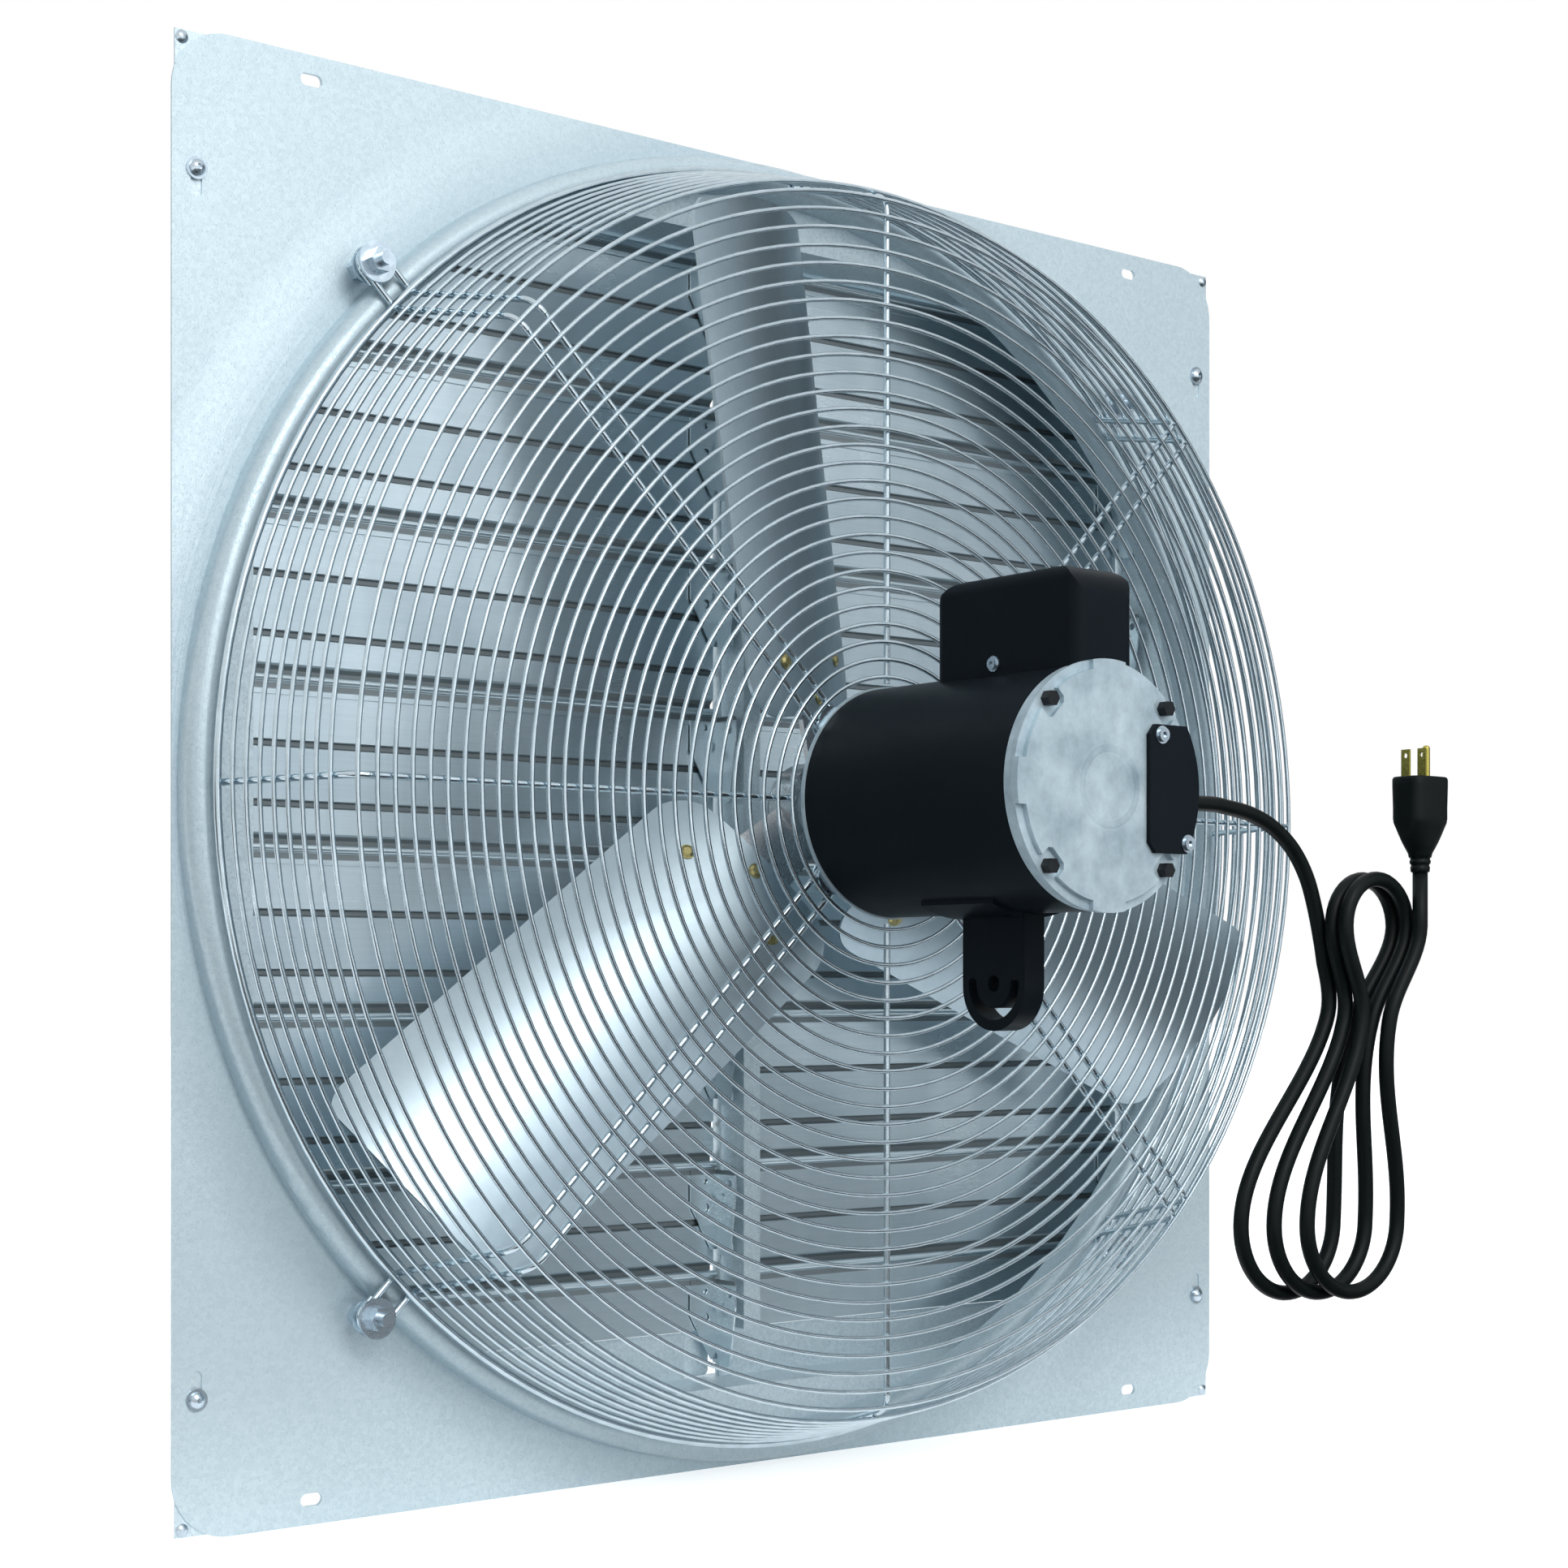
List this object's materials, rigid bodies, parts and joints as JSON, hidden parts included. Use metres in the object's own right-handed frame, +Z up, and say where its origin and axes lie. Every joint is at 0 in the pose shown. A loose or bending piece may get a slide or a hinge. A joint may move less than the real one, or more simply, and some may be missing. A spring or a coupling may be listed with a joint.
{
  "type": "shutter exhaust fan",
  "caption": "Square wall exhaust fan with a wire guard that carries the motor, a bladed rotor in a rounded inlet ring and gravity louvers behind.",
  "frame": {"origin": "centre of the wall slots, on the fan axis, in the plane where the frame flange rests on the wall", "axes": "+Y runs through the wall in the direction of the air, +X to the right seen from the motor side, +Z up"},
  "size_m": [0.85, 0.3847, 0.85],
  "materials": {
    "galvanised_sheet": "galvanised sheet steel with small pale spangles, satin",
    "bright_zinc": "bright zinc plated wire and fasteners",
    "louver_aluminium": "mill finish sheet aluminium, softly brushed along its length",
    "blade_aluminium": "rolled sheet aluminium, satin",
    "cast_aluminium": "die cast aluminium, fine grained",
    "black_enamel": "satin black baked enamel",
    "black_steel": "black oxide",
    "core_steel": "stacked electrical steel",
    "turned_steel": "turned and ground steel",
    "copper_winding": "varnished copper wire",
    "brass": "bright brass",
    "black_rubber": "smooth black cord rubber"
  },
  "bodies": {
    "housing": {"venturi_panel": "galvanised_sheet", "shutter_frame": "galvanised_sheet", "centre_post": "galvanised_sheet", "frame_rivets": "bright_zinc", "panel_screws": "bright_zinc", "guard_inner_rings": "bright_zinc", "guard_outer_rings": "bright_zinc", "guard_side_rings": "bright_zinc", "guard_spokes": "bright_zinc", "motor_support_wires": "bright_zinc", "guard_bolts": "bright_zinc", "guard_washers": "bright_zinc", "guard_nuts": "bright_zinc", "motor_shell": "black_enamel", "drive_end_bell": "cast_aluminium", "rear_end_bell": "cast_aluminium", "motor_long_bolts": "black_steel", "mount_washers": "bright_zinc", "mount_nuts": "bright_zinc", "stator_core": "core_steel", "stator_windings": "copper_winding", "drive_end_bearing": "turned_steel", "rear_bearing": "turned_steel", "capacitor_cover": "black_enamel", "capacitor": "cast_aluminium", "motor_screws": "bright_zinc", "terminal_cover": "black_enamel", "mounting_lug": "black_enamel", "cord_bushing": "black_rubber", "power_lead": "black_rubber", "cord_hank": "black_rubber", "plug_body": "black_rubber", "plug_blades": "brass"},
    "fan_rotor": {"motor_shaft": "turned_steel", "rotor_core": "core_steel", "fan_hub": "cast_aluminium", "hub_screw": "black_steel", "blade_spider": "turned_steel", "blade_1": "blade_aluminium", "blade_2": "blade_aluminium", "blade_3": "blade_aluminium", "blade_rivets": "brass"},
    "left_louver_1_body": {"left_louver_1": "louver_aluminium"},
    "left_louver_2_body": {"left_louver_2": "louver_aluminium"},
    "left_louver_3_body": {"left_louver_3": "louver_aluminium"},
    "left_louver_4_body": {"left_louver_4": "louver_aluminium"},
    "left_louver_5_body": {"left_louver_5": "louver_aluminium"},
    "left_louver_6_body": {"left_louver_6": "louver_aluminium"},
    "left_louver_7_body": {"left_louver_7": "louver_aluminium"},
    "left_louver_8_body": {"left_louver_8": "louver_aluminium"},
    "left_tie_bar_body": {"left_tie_bar": "galvanised_sheet"},
    "right_louver_1_body": {"right_louver_1": "louver_aluminium"},
    "right_louver_2_body": {"right_louver_2": "louver_aluminium"},
    "right_louver_3_body": {"right_louver_3": "louver_aluminium"},
    "right_louver_4_body": {"right_louver_4": "louver_aluminium"},
    "right_louver_5_body": {"right_louver_5": "louver_aluminium"},
    "right_louver_6_body": {"right_louver_6": "louver_aluminium"},
    "right_louver_7_body": {"right_louver_7": "louver_aluminium"},
    "right_louver_8_body": {"right_louver_8": "louver_aluminium"},
    "right_tie_bar_body": {"right_tie_bar": "galvanised_sheet"}
  },
  "joints": [
    {"name": "fan_spin", "type": "hinge", "parent": "housing", "child": "fan_rotor", "pos_m": [0, -0.05, 0], "axis": [0, -1, 0], "continuous": true},
    {"name": "left_louver_1_hinge", "type": "hinge", "parent": "housing", "child": "left_louver_1_body", "pos_m": [-0.1904, 0.0316, 0.3466], "axis": [1, 0, 0], "range_deg": [0, 80]},
    {"name": "left_louver_2_hinge", "type": "hinge", "parent": "housing", "child": "left_louver_2_body", "pos_m": [-0.1904, 0.0316, 0.2464], "axis": [1, 0, 0], "range_deg": [0, 80]},
    {"name": "left_louver_3_hinge", "type": "hinge", "parent": "housing", "child": "left_louver_3_body", "pos_m": [-0.1904, 0.0316, 0.1462], "axis": [1, 0, 0], "range_deg": [0, 80]},
    {"name": "left_louver_4_hinge", "type": "hinge", "parent": "housing", "child": "left_louver_4_body", "pos_m": [-0.1904, 0.0316, 0.046], "axis": [1, 0, 0], "range_deg": [0, 80]},
    {"name": "left_louver_5_hinge", "type": "hinge", "parent": "housing", "child": "left_louver_5_body", "pos_m": [-0.1904, 0.0316, -0.0542], "axis": [1, 0, 0], "range_deg": [0, 80]},
    {"name": "left_louver_6_hinge", "type": "hinge", "parent": "housing", "child": "left_louver_6_body", "pos_m": [-0.1904, 0.0316, -0.1544], "axis": [1, 0, 0], "range_deg": [0, 80]},
    {"name": "left_louver_7_hinge", "type": "hinge", "parent": "housing", "child": "left_louver_7_body", "pos_m": [-0.1904, 0.0316, -0.2546], "axis": [1, 0, 0], "range_deg": [0, 80]},
    {"name": "left_louver_8_hinge", "type": "hinge", "parent": "housing", "child": "left_louver_8_body", "pos_m": [-0.1904, 0.0316, -0.3276], "axis": [1, 0, 0], "range_deg": [0, 80]},
    {"name": "left_tie_bar_pin", "type": "hinge", "parent": "left_louver_1_body", "child": "left_tie_bar_body", "pos_m": [-0.0108, 0.0276, 0.3146], "axis": [1, 0, 0], "range_deg": [-80, 0]},
    {"name": "right_louver_1_hinge", "type": "hinge", "parent": "housing", "child": "right_louver_1_body", "pos_m": [0.1904, 0.0316, 0.3466], "axis": [1, 0, 0], "range_deg": [0, 80]},
    {"name": "right_louver_2_hinge", "type": "hinge", "parent": "housing", "child": "right_louver_2_body", "pos_m": [0.1904, 0.0316, 0.2464], "axis": [1, 0, 0], "range_deg": [0, 80]},
    {"name": "right_louver_3_hinge", "type": "hinge", "parent": "housing", "child": "right_louver_3_body", "pos_m": [0.1904, 0.0316, 0.1462], "axis": [1, 0, 0], "range_deg": [0, 80]},
    {"name": "right_louver_4_hinge", "type": "hinge", "parent": "housing", "child": "right_louver_4_body", "pos_m": [0.1904, 0.0316, 0.046], "axis": [1, 0, 0], "range_deg": [0, 80]},
    {"name": "right_louver_5_hinge", "type": "hinge", "parent": "housing", "child": "right_louver_5_body", "pos_m": [0.1904, 0.0316, -0.0542], "axis": [1, 0, 0], "range_deg": [0, 80]},
    {"name": "right_louver_6_hinge", "type": "hinge", "parent": "housing", "child": "right_louver_6_body", "pos_m": [0.1904, 0.0316, -0.1544], "axis": [1, 0, 0], "range_deg": [0, 80]},
    {"name": "right_louver_7_hinge", "type": "hinge", "parent": "housing", "child": "right_louver_7_body", "pos_m": [0.1904, 0.0316, -0.2546], "axis": [1, 0, 0], "range_deg": [0, 80]},
    {"name": "right_louver_8_hinge", "type": "hinge", "parent": "housing", "child": "right_louver_8_body", "pos_m": [0.1904, 0.0316, -0.3276], "axis": [1, 0, 0], "range_deg": [0, 80]},
    {"name": "right_tie_bar_pin", "type": "hinge", "parent": "right_louver_1_body", "child": "right_tie_bar_body", "pos_m": [0.37, 0.0276, 0.3146], "axis": [1, 0, 0], "range_deg": [-80, 0]}
  ],
  "couplings": [
    {"joint": "left_louver_2_hinge", "follows": "left_louver_1_hinge", "ratio": 1},
    {"joint": "left_louver_3_hinge", "follows": "left_louver_1_hinge", "ratio": 1},
    {"joint": "left_louver_4_hinge", "follows": "left_louver_1_hinge", "ratio": 1},
    {"joint": "left_louver_5_hinge", "follows": "left_louver_1_hinge", "ratio": 1},
    {"joint": "left_louver_6_hinge", "follows": "left_louver_1_hinge", "ratio": 1},
    {"joint": "left_louver_7_hinge", "follows": "left_louver_1_hinge", "ratio": 1},
    {"joint": "left_louver_8_hinge", "follows": "left_louver_1_hinge", "ratio": 1},
    {"joint": "left_tie_bar_pin", "follows": "left_louver_1_hinge", "ratio": -1},
    {"joint": "right_louver_2_hinge", "follows": "right_louver_1_hinge", "ratio": 1},
    {"joint": "right_louver_3_hinge", "follows": "right_louver_1_hinge", "ratio": 1},
    {"joint": "right_louver_4_hinge", "follows": "right_louver_1_hinge", "ratio": 1},
    {"joint": "right_louver_5_hinge", "follows": "right_louver_1_hinge", "ratio": 1},
    {"joint": "right_louver_6_hinge", "follows": "right_louver_1_hinge", "ratio": 1},
    {"joint": "right_louver_7_hinge", "follows": "right_louver_1_hinge", "ratio": 1},
    {"joint": "right_louver_8_hinge", "follows": "right_louver_1_hinge", "ratio": 1},
    {"joint": "right_tie_bar_pin", "follows": "right_louver_1_hinge", "ratio": -1}
  ]
}
